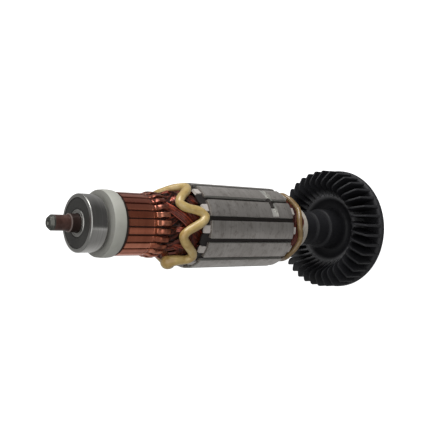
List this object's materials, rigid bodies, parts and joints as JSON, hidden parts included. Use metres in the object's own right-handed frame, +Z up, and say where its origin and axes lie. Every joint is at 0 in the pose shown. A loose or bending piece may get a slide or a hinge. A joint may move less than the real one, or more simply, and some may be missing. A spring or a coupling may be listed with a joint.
{
  "type": "motor armature",
  "caption": "Wound motor armature: shaft, slotted laminated core, laced winding, hook commutator, sealed rear ball bearing and black bladed cooling fan.",
  "frame": {"origin": "middle of the seat for the drive-end bearing, on the shaft's axis", "axes": "+X along the shaft, from the rear bearing past the fan to the pinion seat; +Z up"},
  "size_m": [0.1863, 0.058, 0.058],
  "materials": {
    "ground_steel": "satin",
    "bearing_steel": "ground",
    "cage_brass": "satin",
    "seal_rubber": "matte",
    "pale_plastic": "satin",
    "bush_brass": "turned",
    "phenolic": "satin",
    "bar_copper": "turned copper",
    "mica": "matte",
    "core_steel": "ground",
    "white_moulding": "satin",
    "slot_fibre": "matte",
    "enamelled_copper": "enamelled",
    "cotton_cord": "varnished",
    "black_moulding": "satin"
  },
  "bodies": {
    "rotor": {"shaft": "ground_steel", "insulating_sleeve": "pale_plastic", "bearing_inner_ring": "bearing_steel", "dust_collar": "pale_plastic", "commutator_bush": "bush_brass", "commutator_moulding": "phenolic", "commutator_bars": "bar_copper", "bar_insulation": "mica", "laminated_core": "core_steel", "end_insulator_rear": "white_moulding", "end_insulator_front": "white_moulding", "slot_liners": "slot_fibre", "slot_wedges": "slot_fibre", "coils": "enamelled_copper", "coil_leads": "enamelled_copper", "lacing_cord_rear": "cotton_cord", "lacing_cord_front": "cotton_cord", "fan": "black_moulding"},
    "outer_race": {"bearing_outer_ring": "bearing_steel", "bearing_seal_rear": "seal_rubber", "bearing_seal_front": "seal_rubber"},
    "ball_set": {"bearing_cage": "cage_brass", "bearing_balls": "bearing_steel"}
  },
  "joints": [
    {"name": "outer_race_spin", "type": "hinge", "parent": "rotor", "child": "outer_race", "pos_m": [-0.15193, 0, 0], "axis": [1, 0, 0], "continuous": true},
    {"name": "ball_set_spin", "type": "hinge", "parent": "rotor", "child": "ball_set", "pos_m": [-0.15193, 0, 0], "axis": [1, 0, 0], "continuous": true}
  ],
  "couplings": [
    {"joint": "ball_set_spin", "follows": "outer_race_spin", "ratio": 0.6369}
  ]
}
